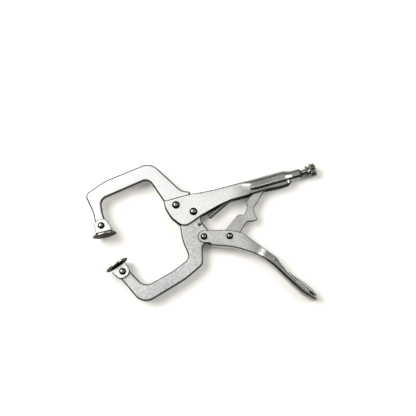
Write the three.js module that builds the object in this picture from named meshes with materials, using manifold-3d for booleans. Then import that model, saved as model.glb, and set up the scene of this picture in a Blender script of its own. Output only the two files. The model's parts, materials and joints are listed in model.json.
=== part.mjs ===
// Locking C-clamp pliers with swivel pads, open, lying flat. Millimetres, +Z up.
//
// The parts are drawn in a working frame: the main pivot is at x = 0, y = 0, the middle plane of the
// tool is z = 0, +X runs along the adjusting screw to the knob, and +Y points to the fixed jaw's back.
// At the end the whole tool is moved so that the origin is under the middle of its bounding box.

import * as THREE from 'three';
import { mergeVertices } from 'three/addons/utils/BufferGeometryUtils.js';
import Module from 'manifold-3d';

const wasm = await Module();
wasm.setup();

// ---------------------------------------------------------------- driving dimensions

const PIVOTS = {
  main: [0, 0],
  jawFixing: [-18.3, 13.6],
  handle: [4.1, -33.0],
  link: [34.1, -40.8],
  linkHead: [99, 11.5],
  releaseLever: [78.4, -83.0],
  fixedPad: [-112.1, 13.7],
  movingPad: [-101.3, -47.3],
};
const SCREW_AXIS_Y = 11.5;

const CLEARANCE = 0.3;
const JAW_THICKNESS = 8;
const JAW_EDGE_RADIUS = 1.6;
const LINK_THICKNESS = 7;
const SHEET = 2.4;
const CHEEK_INSIDE = JAW_THICKNESS / 2 + CLEARANCE;
const CHEEK_OUTSIDE = CHEEK_INSIDE + SHEET;
const BEND_RADIUS = 3.5;
const GRIP_OUTSIDE = 8.4;
const GRIP_DEPTH = 27;

const TUBE_RADIUS = 9;
const TUBE_START_X = 60;
const TUBE_END_X = 118;
const SOCKET_RADIUS = 6.35;
const SOCKET_END_X = 139;

const SCREW_RADIUS = 4;
const SCREW_TIP_X = 107.4;
const KNOB_X = 146.6;
const KNOB_RADIUS = 8.2;

const MAIN_RIVET = { shaft: 3.2, head: 4.75, height: 3.1 };
const SMALL_RIVET = { shaft: 3.0, head: 4.1, height: 2.8 };
const PAD_RIVET = { shaft: 2.6, head: 4.2, height: 2.7 };
const LEVER_PIN = { shaft: 1.5, head: 2.2, height: 0.7 };
const HEAD_GAP = 0.15;
const MAIN_BOSS_RADIUS = 11.4;

const SPRING_HOLE = [2.8, -17.1];
const SPRING_TAB = [57.5, 8.2];
const SPRING_HOLE_RADIUS = 1.9;
const SPRING_TAB_HOLE_RADIUS = 1.4;
const SPRING_RADIUS = 2.6;
const SPRING_TURNS = 13;
const WIRE_RADIUS = 0.6;

const PAD = {
  radius: 14.75,
  thickness: 2.6,
  faceDistance: 12.3,
  earRadius: 7.6,
  earWidth: 20,
  sheet: 1.9,
  shift: 1.3,
};
const JAW_TIP_RADIUS = 6.6;
const FIXED_PAD_TURN = -2;
const MOVING_PAD_TURN = 199;

// Cutting solids reach past both sides of the tool by this much.
const CUTTER_DEPTH = 40;
const ARC_STEP = 18;
const ROUND_SIDES = 16;
const TUBE_SIDES = 24;
const DISC_SIDES = 30;

// ---------------------------------------------------------------- finishes

function finish(color, roughness) {
  return new THREE.MeshStandardMaterial({ color, roughness, metalness: 1 });
}

const JAW_STEEL = finish(0xd6d8d8, 0.42);
const HANDLE_STEEL = finish(0xdcdedf, 0.32);
const LINK_STEEL = finish(0xc6c8c8, 0.45);
const RIVET_STEEL = finish(0xe2e3e4, 0.12);
const SCREW_STEEL = finish(0xb4b5b2, 0.3);
const PAD_STEEL = finish(0xa9a89f, 0.35);
const SPRING_STEEL = finish(0x8c8a84, 0.35);

// ---------------------------------------------------------------- outlines

// Each corner is [x, y] or [x, y, fillet radius]; the fillets become arcs.
function filleted(corners, step = ARC_STEP) {
  const points = [];
  corners.forEach(([x, y, radius = 0], i) => {
    const corner = new THREE.Vector2(x, y);
    if (radius === 0) {
      points.push(corner);
      return;
    }
    const before = new THREE.Vector2(...corners.at(i - 1));
    const after = new THREE.Vector2(...corners[(i + 1) % corners.length]);
    points.push(...cornerArc(before, corner, after, radius, step));
  });
  return points;
}

function cornerArc(before, corner, after, radius, step) {
  const back = before.clone().sub(corner).normalize();
  const ahead = after.clone().sub(corner).normalize();
  const half = Math.acos(THREE.MathUtils.clamp(back.dot(ahead), -1, 1)) / 2;
  const reach = radius / Math.sin(half);
  const middle = back.clone().add(ahead).normalize().multiplyScalar(reach).add(corner);
  const start = back.multiplyScalar(radius / Math.tan(half)).add(corner).sub(middle);
  const end = ahead.multiplyScalar(radius / Math.tan(half)).add(corner).sub(middle);
  const turn = Math.atan2(start.cross(end), start.dot(end));
  const count = Math.max(1, Math.ceil(Math.abs(THREE.MathUtils.radToDeg(turn)) / step));
  const arc = [];
  for (let i = 0; i <= count; i += 1) {
    arc.push(start.clone().rotateAround(new THREE.Vector2(), (turn * i) / count).add(middle));
  }
  return arc;
}

// ---------------------------------------------------------------- solids

function solid(geometry) {
  const bare = geometry.clone();
  bare.deleteAttribute('normal');
  bare.deleteAttribute('uv');
  const merged = mergeVertices(bare, 1e-4);
  const vertProperties = new Float32Array(merged.attributes.position.array);
  const triVerts = new Uint32Array(merged.index.array);
  return new wasm.Manifold(new wasm.Mesh({ numProp: 3, vertProperties, triVerts }));
}

function geometryOf(body) {
  const { vertProperties, triVerts } = body.getMesh();
  const geometry = new THREE.BufferGeometry();
  geometry.setAttribute('position', new THREE.BufferAttribute(new Float32Array(vertProperties), 3));
  geometry.setIndex(new THREE.BufferAttribute(new Uint32Array(triVerts), 1));
  geometry.computeVertexNormals();
  return geometry;
}

// A flat plate of the outline, centred on z = 0, with rounded edges if edge is given.
function plate(points, thickness, edge = 0, segments = 1) {
  const geometry = new THREE.ExtrudeGeometry(new THREE.Shape(points), {
    depth: thickness - 2 * edge,
    bevelEnabled: edge > 0,
    bevelThickness: edge,
    bevelSize: edge,
    bevelOffset: -edge,
    bevelSegments: segments,
    curveSegments: 1,
  });
  return geometry.translate(0, 0, edge - thickness / 2);
}

function drill([x, y], radius) {
  const cutter = new THREE.CylinderGeometry(radius, radius, CUTTER_DEPTH, ROUND_SIDES);
  return solid(cutter.rotateX(Math.PI / 2).translate(x, y, 0));
}

function drilled(body, holes) {
  return holes.reduce((left, [at, radius]) => left.subtract(drill(at, radius)), body);
}

// A body turned about the screw's axis, from [x, radius] points that start and end on the axis.
function turnedOnScrew(profile, sides = TUBE_SIDES) {
  const points = profile.map(([x, radius]) => new THREE.Vector2(radius, x));
  return new THREE.LatheGeometry(points, sides).rotateZ(-Math.PI / 2).translate(0, SCREW_AXIS_Y, 0);
}

// A dome-headed rivet along Z through x, y; reach is the outer face that each head rests on.
function rivet([x, y], { shaft, head, height }, reach) {
  const seat = reach + HEAD_GAP;
  const ball = (head * head + height * height) / (2 * height);
  const spread = Math.asin(head / ball);
  const dome = [];
  for (let i = 0; i <= 3; i += 1) {
    const angle = (spread * i) / 3;
    dome.push([ball * Math.sin(angle), seat + height - ball * (1 - Math.cos(angle))]);
  }
  dome[0][0] = 0;
  const upper = [...dome, [shaft, seat]];
  const lower = upper.map(([r, z]) => [r, -z]);
  const profile = [...lower, ...upper.reverse()].map(([r, z]) => new THREE.Vector2(r, z));
  return new THREE.LatheGeometry(profile, ROUND_SIDES).rotateX(Math.PI / 2).translate(x, y, 0);
}

// ---------------------------------------------------------------- jaws

function fixedJaw() {
  const [tipX, tipY] = PIVOTS.fixedPad;
  const left = tipX - JAW_TIP_RADIUS;
  const right = tipX + JAW_TIP_RADIUS;
  const end = tipY - JAW_TIP_RADIUS;
  const outline = filleted([
    [2.7, 25.9, 2],
    [-7, 29.8, 14],
    [-34, 74.7, 18],
    [-95, 66.8, 50],
    [-122.4, 56.6, 7.5],
    [-118.1, 33, 40],
    [left, tipY + 4, 30],
    [left, end, JAW_TIP_RADIUS - 0.5],
    [right, end, JAW_TIP_RADIUS - 0.5],
    [right, tipY + 4, 20],
    [-106.4, 30, 30],
    [-104.4, 45.3, 9],
    [-42.2, 54.4, 9],
    [-31.6, 22.6, 8],
    [-27.5, 4.6, 5],
    [-14.2, 4.6, 2],
    [-13.6, 12.6, 3],
    [-4, 16.2, 3],
    [15, 13.2, 2],
    [14.4, 19.2, 2],
    [2.7, 19.5],
  ]);
  const body = solid(plate(outline, JAW_THICKNESS, JAW_EDGE_RADIUS));
  return drilled(body, [
    [PIVOTS.jawFixing, MAIN_RIVET.shaft + CLEARANCE],
    [PIVOTS.fixedPad, PAD_RIVET.shaft + CLEARANCE],
    [PIVOTS.main, MAIN_BOSS_RADIUS + 0.8],
  ]);
}

function movingJaw() {
  const [tipX, tipY] = PIVOTS.movingPad;
  const along = new THREE.Vector2(-0.5, 0.866).multiplyScalar(JAW_TIP_RADIUS);
  const across = new THREE.Vector2(along.y, -along.x);
  const tip = (a, b) => [tipX + a * along.x + b * across.x, tipY + a * along.y + b * across.y];
  const outline = filleted([
    [MAIN_BOSS_RADIUS, MAIN_BOSS_RADIUS, MAIN_BOSS_RADIUS - 0.5],
    [-MAIN_BOSS_RADIUS, MAIN_BOSS_RADIUS, MAIN_BOSS_RADIUS - 0.5],
    [-MAIN_BOSS_RADIUS, -1.5, 5],
    [-20.2, -11.5, 6],
    [-22.8, -29, 60],
    [-19.4, -53.2, 9],
    [-44, -63, 60],
    [-80.4, -72.1, 12],
    [...tip(1, 1), JAW_TIP_RADIUS - 0.5],
    [...tip(1, -1), JAW_TIP_RADIUS - 0.5],
    [-88.3, -92.9, 17],
    [-30, -76.4, 80],
    [-5.9, -64.8, 10],
    [-0.9, -43.6, 8],
    [4.2, -41, 4],
    [11.9, -40.6, 7],
    [11.9, -27, 5],
    [6.6, -15, 12],
    [6.6, -9.6, 3],
    [MAIN_BOSS_RADIUS, -4, 6],
  ]);
  const body = solid(plate(outline, JAW_THICKNESS, JAW_EDGE_RADIUS));
  return drilled(body, [
    [PIVOTS.main, MAIN_RIVET.shaft + CLEARANCE],
    [PIVOTS.handle, SMALL_RIVET.shaft + CLEARANCE],
    [PIVOTS.movingPad, PAD_RIVET.shaft + CLEARANCE],
    [SPRING_HOLE, SPRING_HOLE_RADIUS],
  ]);
}

// ---------------------------------------------------------------- handles

// Side view of the upper handle's sheet: cheeks in front, lips of the tube behind.
function cheekOutline() {
  return filleted([
    [-31.8, 22.3, 1.2],
    [-32.2, 14, 20],
    [-28.6, 0.8, 25],
    [-16.6, -16.4, 12],
    [6, -8.1, 20],
    [32, -1.2, 60],
    [48, 1.3, 30],
    [69.5, 1.0, 1],
    [72.5, 2.0, 1],
    [97, 1.8, 60],
    [112, 0.7, 40],
    [121.5, 1.4, 4],
    [128, 6, 1],
    [128, 16],
    [120, 16],
    [120, 30],
    [3.4, 30],
    [3.2, 22.3],
  ]);
}

function upperHandle() {
  const folded = filleted([
    [-45, 40],
    [-45, -45],
    [132, -45],
    [132, 14],
    [80, 14],
    [73, 20.3, 6],
    [33, 20.1, 80],
    [3, 22.3],
    [3, 40],
  ]);
  const tube = turnedOnScrew([
    [TUBE_START_X, 0],
    [TUBE_START_X, 4.6],
    [66, 6.9],
    [70, 8.1],
    [75, 8.8],
    [81, TUBE_RADIUS],
    [TUBE_END_X, TUBE_RADIUS],
    [122, 8.2],
    [126.5, 6.7],
    [129, SOCKET_RADIUS],
    [SOCKET_END_X, SOCKET_RADIUS],
    [SOCKET_END_X, 0],
  ]);
  const channel = filleted([
    [-50, 60],
    [-50, -50],
    [120, -50],
    [120, 14],
    [70, 17.7],
    [33, 17.6, 80],
    [3.2, 20.2],
    [3.2, 60],
  ]);
  const bore = turnedOnScrew([
    [62, 0],
    [62, 4.2],
    [70, TUBE_RADIUS - SHEET],
    [TUBE_END_X, TUBE_RADIUS - SHEET],
    [122, SCREW_RADIUS + CLEARANCE],
    [SOCKET_END_X + 2, SCREW_RADIUS + CLEARANCE],
    [SOCKET_END_X + 2, 0],
  ]);
  const cheeks = solid(plate(folded, 2 * CHEEK_OUTSIDE, BEND_RADIUS, 3));
  const trimmed = cheeks.intersect(solid(plate(cheekOutline(), CUTTER_DEPTH)));
  const hollow = solid(plate(channel, 2 * CHEEK_INSIDE)).add(solid(bore));
  const body = trimmed.add(solid(tube)).subtract(hollow).add(springTab());
  return drilled(body, [
    [PIVOTS.main, MAIN_RIVET.shaft + CLEARANCE],
    [PIVOTS.jawFixing, MAIN_RIVET.shaft + CLEARANCE],
  ]);
}

// The tab pressed down from the web, which the return spring hooks on.
function springTab() {
  const [x, y] = SPRING_TAB;
  const outline = filleted([
    [x - 3, 18.5],
    [x - 3, y - 3, 2],
    [x + 3, y - 3, 2],
    [x + 3, 18.5],
  ]);
  return solid(plate(outline, 2)).subtract(drill(SPRING_TAB, SPRING_TAB_HOLE_RADIUS));
}

function lowerHandle() {
  const web = new THREE.CatmullRomCurve3([
    [-10, -37.6],
    [14, -47.4],
    [36.4, -56.5],
    [57.5, -70.4],
    [71.7, -86.4],
    [84.3, -107.6],
    [96.8, -128.6],
    [106.3, -138.7],
    [114, -143.6],
  ].map(([x, y]) => new THREE.Vector3(x, y, 0)));
  const walls = filleted([
    [-0.96, -24.0, 7.2],
    [-4.9, -38.1, 7.2],
    [6.9, -41.5, 0.5],
    [6.9, -50],
    [60, -85],
    [100, -150],
    [115, -150],
    [113.2, -139.2, 1],
    [90.5, -105.6, 60],
    [83.6, -90, 25],
    [81.6, -81.8, 8],
    [50, -40.8, 20],
    [35.5, -33.4, 40],
  ]);
  const frontGap = filleted([
    [-20, -60],
    [6.6, -60],
    [6.6, -20],
    [-20, -20],
  ]);
  const sheet = swept(web, CHEEK_OUTSIDE, 0, BEND_RADIUS);
  const hollow = swept(web, CHEEK_INSIDE, SHEET).add(solid(plate(frontGap, 2 * CHEEK_INSIDE)));
  const body = sheet.intersect(solid(plate(walls, CUTTER_DEPTH))).subtract(hollow);
  return drilled(body, [
    [PIVOTS.handle, SMALL_RIVET.shaft + CLEARANCE],
    [PIVOTS.link, SMALL_RIVET.shaft + CLEARANCE],
    [PIVOTS.releaseLever, LEVER_PIN.shaft + CLEARANCE],
  ]);
}

// A deep bar along the lower handle's back. It is as wide as the jaws' cheeks in front and widens
// to the grip behind, because the sheet is pressed that way.
function swept(back, halfWidth, start, radius = 0) {
  const end = start + GRIP_DEPTH;
  const section = filleted([
    [-halfWidth, start, radius],
    [halfWidth, start, radius],
    [halfWidth, end],
    [-halfWidth, end],
  ], 30);
  const steps = 28;
  const options = { steps, extrudePath: back, bevelEnabled: false, curveSegments: 1 };
  const geometry = new THREE.ExtrudeGeometry(new THREE.Shape(section), options);
  const rings = back.getSpacedPoints(steps);
  const position = geometry.attributes.position;
  const point = new THREE.Vector3();
  for (let i = 0; i < position.count; i += 1) {
    point.fromBufferAttribute(position, i).setZ(0);
    const distances = rings.map((ring) => ring.distanceTo(point));
    const along = distances.indexOf(Math.min(...distances)) / steps;
    const extra = (GRIP_OUTSIDE - CHEEK_OUTSIDE) * THREE.MathUtils.smoothstep(along, 0.34, 0.58);
    position.setZ(i, position.getZ(i) * (1 + extra / halfWidth));
  }
  return solid(geometry);
}

// ---------------------------------------------------------------- toggle link and release lever

function toggleLink() {
  const [x, y] = PIVOTS.linkHead;
  const [rootX, rootY] = PIVOTS.link;
  const outline = filleted([
    [rootX - 4.4, rootY - 9.8, 7.2],
    [rootX - 9.8, rootY + 4.3, 7.2],
    [51.6, -17.5, 5],
    [58.2, -19.9, 2.5],
    [65.4, -11, 6],
    [64.9, -5.6, 4],
    [x - 11, y + 0.8, 8],
    [x + 5, y + 5, 4.6],
    [x + 5, y - 5, 4.6],
    [89.5, 1.8, 15],
    [71.6, -15.4, 5],
    [71.1, -24, 6],
    [73.2, -29.6, 1.5],
    [67, -30.4, 3],
    [59.4, -28.6, 5],
    [50.4, -37, 5],
  ]);
  const body = solid(plate(outline, LINK_THICKNESS, 1, 1));
  return drilled(body, [[PIVOTS.link, SMALL_RIVET.shaft + CLEARANCE]]);
}

function releaseLever() {
  const side = filleted([
    [67.2, -66.4, 1.7],
    [81.8, -82.2, 2.8],
    [84.6, -90.4, 20],
    [91, -101.6, 60],
    [103.2, -117.8, 40],
    [109.6, -125.4, 10],
    [114.6, -136.6, 1],
    [112.4, -137.4, 1],
    [107.4, -127.2, 8],
    [88.8, -103, 40],
    [81, -92, 4],
    [75.4, -85.6, 3],
    [64.4, -69.8, 1.7],
  ]);
  const fold = filleted([
    [60, -60],
    [80.2, -82.8, 1.5],
    [86, -97.5],
    [70, -100],
  ]);
  const width = 2 * (GRIP_OUTSIDE - SHEET) - 2;
  const slot = solid(plate(fold, 5.6)).subtract(drill([67, -69], 3.4));
  const body = solid(plate(side, width, 0.6, 1)).subtract(slot);
  return drilled(body, [[PIVOTS.releaseLever, LEVER_PIN.shaft + CLEARANCE]]);
}

// ---------------------------------------------------------------- screw, knob and spring

function adjustingScrew() {
  return turnedOnScrew([
    [SCREW_TIP_X, 0],
    [SCREW_TIP_X, 2.8],
    [SCREW_TIP_X + 1.2, SCREW_RADIUS],
    [KNOB_X + 5, SCREW_RADIUS],
    [KNOB_X + 5, 0],
  ], ROUND_SIDES);
}

// A spool: thin flange, groove, and a head with finger flats round it.
function adjustingKnob() {
  const spool = turnedOnScrew([
    [KNOB_X, 0],
    [KNOB_X, 7.1],
    [KNOB_X + 0.5, 7.5],
    [KNOB_X + 2, 7.5],
    [KNOB_X + 2.6, 5.6],
    [KNOB_X + 4, 5.6],
    [KNOB_X + 4.7, KNOB_RADIUS],
    [KNOB_X + 11, KNOB_RADIUS],
    [KNOB_X + 12.2, 6.6],
    [KNOB_X + 12.2, 0],
  ]);
  const grooves = new THREE.CylinderGeometry(1.1, 1.1, 12, 6).rotateZ(Math.PI / 2);
  let body = solid(spool);
  for (let i = 0; i < 12; i += 1) {
    const angle = (Math.PI * 2 * i) / 12;
    const groove = grooves.clone().translate(KNOB_X + 10, 0, KNOB_RADIUS + 0.45);
    body = body.subtract(solid(groove.rotateX(angle).translate(0, SCREW_AXIS_Y, 0)));
  }
  const bore = turnedOnScrew([
    [KNOB_X - 1, 0],
    [KNOB_X - 1, SCREW_RADIUS + CLEARANCE],
    [KNOB_X + 5.4, SCREW_RADIUS + CLEARANCE],
    [KNOB_X + 5.4, 0],
  ], ROUND_SIDES);
  return body.subtract(solid(bore));
}

// Close-wound coils between two hooks, in one wire.
function returnSpring() {
  const from = new THREE.Vector3(...SPRING_HOLE, 0);
  const to = new THREE.Vector3(...SPRING_TAB, 0);
  const length = from.distanceTo(to);
  const coilStart = 14;
  const coilEnd = length - 8;
  const wire = [
    [-0.5, 0, -5.6],
    [-0.4, 0, 0],
    [-0.3, 0, 5.4],
    [3, 0, 6.2],
    [9, 0, 4.4],
  ].map((p) => new THREE.Vector3(...p));
  const bends = SPRING_TURNS * 8;
  for (let i = 0; i <= bends; i += 1) {
    const angle = (i / 8) * Math.PI * 2;
    const x = THREE.MathUtils.lerp(coilStart, coilEnd, i / bends);
    const y = SPRING_RADIUS * Math.sin(angle);
    wire.push(new THREE.Vector3(x, y, SPRING_RADIUS * Math.cos(angle)));
  }
  wire.push(new THREE.Vector3(length - 5, 0, 2.6));
  wire.push(new THREE.Vector3(length - 1.5, 0, 2.2));
  wire.push(new THREE.Vector3(length + 0.2, 0, 0.6));
  wire.push(new THREE.Vector3(length + 0.2, 0, -2.4));
  const path = new THREE.CatmullRomCurve3(wire);
  const section = new THREE.Shape(filleted([
    [WIRE_RADIUS, WIRE_RADIUS],
    [-WIRE_RADIUS, WIRE_RADIUS],
    [-WIRE_RADIUS, -WIRE_RADIUS],
    [WIRE_RADIUS, -WIRE_RADIUS],
  ]));
  const options = { steps: 120, bevelEnabled: false, extrudePath: path };
  const coil = new THREE.ExtrudeGeometry(section, options);
  const lean = Math.atan2(to.y - from.y, to.x - from.x);
  return coil.rotateZ(lean).translate(from.x, from.y, 0);
}

// ---------------------------------------------------------------- swivel pads

// Drawn with the rivet at the origin and the clamping face below it, facing -Y.
function padDisc() {
  const { radius, thickness, faceDistance } = PAD;
  const profile = [
    [0, 0],
    [radius - 0.8, 0],
    [radius, 0.7],
    [radius, thickness - 0.7],
    [radius - 0.8, thickness],
    [0, thickness],
  ].map(([r, y]) => new THREE.Vector2(r, y));
  return new THREE.LatheGeometry(profile, DISC_SIDES).translate(PAD.shift, -faceDistance, 0);
}

function padYoke() {
  const { thickness, faceDistance, earRadius, earWidth, sheet, shift } = PAD;
  const seat = thickness + CLEARANCE - faceDistance;
  const ear = filleted([
    [shift - earWidth / 2, seat, 0],
    [shift + earWidth / 2, seat, 0],
    [shift + earWidth / 2, seat + 3, 2],
    [earRadius, earRadius, earRadius - 0.5],
    [-earRadius, earRadius, earRadius - 0.5],
    [shift - earWidth / 2, seat + 3, 2],
  ]);
  const inside = filleted([
    [-20, seat + sheet],
    [20, seat + sheet],
    [20, 20],
    [-20, 20],
  ]);
  const body = solid(plate(ear, 2 * (CHEEK_INSIDE + sheet)));
  const hollow = solid(plate(inside, 2 * CHEEK_INSIDE));
  return drilled(body.subtract(hollow), [[[0, 0], PAD_RIVET.shaft + CLEARANCE]]);
}

function addPad(tool, name, [x, y], degrees) {
  const pad = new THREE.Group();
  pad.position.set(x, y, 0);
  pad.rotation.z = THREE.MathUtils.degToRad(degrees);
  addPiece(pad, `${name}_disc`, padDisc(), PAD_STEEL);
  addPiece(pad, `${name}_yoke`, padYoke(), HANDLE_STEEL);
  addPiece(pad, `${name}_rivet`, rivet([0, 0], PAD_RIVET, CHEEK_INSIDE + PAD.sheet), RIVET_STEEL);
  tool.add(pad);
}

// ---------------------------------------------------------------- assembly

function addPiece(parent, name, shape, material) {
  const geometry = shape.isBufferGeometry ? geometryOf(solid(shape)) : geometryOf(shape);
  const mesh = new THREE.Mesh(geometry, material);
  mesh.name = name;
  parent.add(mesh);
}

const RIVETS = [
  ['jaw_fixing_rivet', PIVOTS.jawFixing, MAIN_RIVET, CHEEK_OUTSIDE],
  ['main_pivot_rivet', PIVOTS.main, MAIN_RIVET, CHEEK_OUTSIDE],
  ['handle_pivot_rivet', PIVOTS.handle, SMALL_RIVET, CHEEK_OUTSIDE],
  ['link_pivot_rivet', PIVOTS.link, SMALL_RIVET, CHEEK_OUTSIDE],
  ['release_lever_pin', PIVOTS.releaseLever, LEVER_PIN, GRIP_OUTSIDE],
];

const tool = new THREE.Group();
addPiece(tool, 'upper_handle', upperHandle(), HANDLE_STEEL);
addPiece(tool, 'fixed_jaw', fixedJaw(), JAW_STEEL);
addPiece(tool, 'moving_jaw', movingJaw(), JAW_STEEL);
addPiece(tool, 'lower_handle', lowerHandle(), HANDLE_STEEL);
addPiece(tool, 'toggle_link', toggleLink(), LINK_STEEL);
addPiece(tool, 'release_lever', releaseLever(), HANDLE_STEEL);
addPiece(tool, 'adjusting_screw', adjustingScrew(), SCREW_STEEL);
addPiece(tool, 'adjusting_knob', adjustingKnob(), SCREW_STEEL);
addPiece(tool, 'return_spring', returnSpring(), SPRING_STEEL);
RIVETS.forEach(([name, at, size, reach]) => {
  addPiece(tool, name, rivet(at, size, reach), RIVET_STEEL);
});
addPad(tool, 'fixed_pad', PIVOTS.fixedPad, FIXED_PAD_TURN);
addPad(tool, 'moving_pad', PIVOTS.movingPad, MOVING_PAD_TURN);

// The origin goes under the middle of the bounding box, on the surface that the pads rest on.
const box = new THREE.Box3().setFromObject(tool, true);
const middle = box.getCenter(new THREE.Vector3());
tool.position.set(-middle.x, -middle.y, -box.min.z);

export default tool;
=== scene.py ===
import json
import math

import bmesh
import bpy
from mathutils import Matrix, Vector, geometry


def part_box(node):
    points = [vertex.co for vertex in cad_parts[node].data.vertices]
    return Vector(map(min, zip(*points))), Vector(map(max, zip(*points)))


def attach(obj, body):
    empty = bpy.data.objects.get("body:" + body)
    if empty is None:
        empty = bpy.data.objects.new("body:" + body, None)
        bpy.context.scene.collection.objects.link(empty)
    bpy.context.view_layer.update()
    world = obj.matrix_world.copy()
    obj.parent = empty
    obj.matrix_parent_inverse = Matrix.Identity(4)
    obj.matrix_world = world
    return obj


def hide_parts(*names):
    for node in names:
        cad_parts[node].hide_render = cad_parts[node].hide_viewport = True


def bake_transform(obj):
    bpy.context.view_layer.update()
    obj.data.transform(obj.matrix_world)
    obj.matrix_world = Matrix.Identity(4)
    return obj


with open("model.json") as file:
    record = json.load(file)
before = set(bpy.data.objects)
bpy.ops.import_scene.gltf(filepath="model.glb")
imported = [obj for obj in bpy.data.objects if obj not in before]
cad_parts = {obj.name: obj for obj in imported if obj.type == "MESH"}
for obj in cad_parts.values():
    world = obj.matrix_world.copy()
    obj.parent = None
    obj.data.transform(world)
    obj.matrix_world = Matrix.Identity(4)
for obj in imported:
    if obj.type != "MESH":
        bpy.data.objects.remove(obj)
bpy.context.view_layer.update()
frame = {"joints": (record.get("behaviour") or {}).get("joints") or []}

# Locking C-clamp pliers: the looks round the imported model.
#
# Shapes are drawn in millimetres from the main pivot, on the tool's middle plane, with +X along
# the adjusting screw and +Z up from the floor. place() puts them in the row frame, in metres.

MM = 0.001
JOINTS = {joint["name"]: joint for joint in frame["joints"]}
MAIN = Vector(JOINTS["jaw_close"]["pos_m"])


def place(point):
    return MAIN + Vector(point) * MM


def drawn(point):
    """The reverse of place()."""
    return (Vector(point) - MAIN) / MM


def pivot(joint):
    at = drawn(JOINTS[joint]["pos_m"])
    return at.x, at.y


HANDLE_PIVOT = pivot("lower_handle_swing")
LINK_PIVOT = pivot("toggle_link_swing")
LEVER_PIVOT = pivot("release_lever_swing")
FIXED_PAD = pivot("fixed_pad_swivel")
MOVING_PAD = pivot("moving_pad_swivel")
SCREW_Y = pivot("knob_turn")[1]
JAW_FIXING = (-18.3, 13.6)
SPRING_HOLE = (2.8, -17.1)
SPRING_TAB = (57.5, 8.2)

# widths, from the middle plane
JAW_HALF = 4.0
CHEEK_IN = 4.3
SHEET = 2.4
CHEEK_OUT = CHEEK_IN + SHEET
GRIP_OUT = 8.4

# radii and places along the screw's axis
TUBE_R = 9.0
SOCKET_R = 6.35
TUBE_END = 118.0
NECK_END = 129
SOCKET_END = 139.0
SCREW_R = 4.0
SCREW_TIP = 107.4
KNOB_X = 146.6
KNOB_R = 8.2

# the holes for the rivets' shafts, and the rounding of all holes' edges
JAW_HOLE, LINK_HOLE, PAD_HOLE, LEVER_HOLE = 3.5, 3.3, 2.9, 1.8
HOLE_EDGE = 0.35
LEAST_CORNER = 0.3


# ---------------------------------------------------------------- numbers and outlines

# the angle between a fillet's points, in degrees
FILLET_STEP = 6
# a sharp corner moves no further in than this allows
MITRE = 0.4
CIRCLE_POINTS = 32


def mix(a, b, t):
    return a + (b - a) * t


def smooth(low, high, x):
    t = max(0.0, min(1.0, (x - low) / (high - low)))
    return t * t * (3 - 2 * t)


def turned(angle, radius):
    return radius * math.cos(angle), radius * math.sin(angle)


def cross(a, b):
    return a.x * b.y - a.y * b.x


def area(points):
    return sum(cross(points[i - 1], p) for i, p in enumerate(points)) / 2


def filleted(corners):
    """The points of a closed outline. Corners are (x, y) or (x, y, fillet radius)."""
    points = []
    for i, corner in enumerate(corners):
        at = Vector(corner[:2])
        radius = corner[2] if len(corner) > 2 else 0
        if radius == 0:
            points.append(at)
            continue
        back = (Vector(corners[i - 1][:2]) - at).normalized()
        ahead = (Vector(corners[(i + 1) % len(corners)][:2]) - at).normalized()
        half = math.acos(max(-1, min(1, back.dot(ahead)))) / 2
        middle = at + (back + ahead).normalized() * radius / math.sin(half)
        start = at + back * radius / math.tan(half) - middle
        end = at + ahead * radius / math.tan(half) - middle
        turn = math.atan2(cross(start, end), start.dot(end))
        count = max(1, math.ceil(abs(math.degrees(turn)) / FILLET_STEP))
        for k in range(count + 1):
            points.append(middle + Matrix.Rotation(turn * k / count, 2) @ start)
    return points


def moved_in(points, distance):
    """The closed outline moved to its left, which is inwards on a counter-clockwise one."""
    out = []
    for i, p in enumerate(points):
        a = (p - points[i - 1]).normalized()
        b = (points[(i + 1) % len(points)] - p).normalized()
        na, nb = Vector((-a.y, a.x)), Vector((-b.y, b.x))
        out.append(p + (na + nb) * distance / max(MITRE, 1 + na.dot(nb)))
    return out


def circle(centre, radius):
    points = []
    for k in range(CIRCLE_POINTS):
        x, y = turned(2 * math.pi * k / CIRCLE_POINTS, radius)
        points.append(Vector((centre[0] + x, centre[1] + y)))
    return points


def height_at(chain, x):
    """y of an open chain of points at x, where x only grows along it."""
    for a, b in zip(chain, chain[1:]):
        if a.x <= x <= b.x:
            return a.y + (b.y - a.y) * (x - a.x) / max(1e-9, b.x - a.x)
    return chain[0].y if x < chain[0].x else chain[-1].y


def spline(points, steps):
    """A smooth curve through the points, with a given number of steps between two."""
    out = []
    for i in range(len(points) - 1):
        p0 = points[max(i - 1, 0)]
        p1, p2 = points[i], points[i + 1]
        p3 = points[min(i + 2, len(points) - 1)]
        for k in range(steps):
            t = k / steps
            out.append(0.5 * (2 * p1 + (p2 - p0) * t + (2 * p0 - 5 * p1 + 4 * p2 - p3) * t * t
                              + (3 * p1 - p0 - 3 * p2 + p3) * t ** 3))
    return out + [points[-1]]


def vectors(points):
    return [Vector(p) for p in points]


def evenly(path, count):
    """The path's points taken again at even distances."""
    lengths = [0.0]
    for a, b in zip(path, path[1:]):
        lengths.append(lengths[-1] + (b - a).length)
    out, i = [], 0
    for k in range(count + 1):
        want = lengths[-1] * k / count
        while i < len(path) - 2 and lengths[i + 1] < want:
            i += 1
        share = (want - lengths[i]) / (lengths[i + 1] - lengths[i])
        out.append(path[i].lerp(path[i + 1], share))
    return out


# ---------------------------------------------------------------- meshes

# which of a sheet piece's materials a face has, where it isn't the first: the cut edge and the
# inside, both dark with painted shade
CUT, INSIDE = 1, 2
# the number of steps in a plate's rounded edge, and of sides round a wire
EDGE_STEPS = 4
WIRE_SIDES = 10


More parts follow.
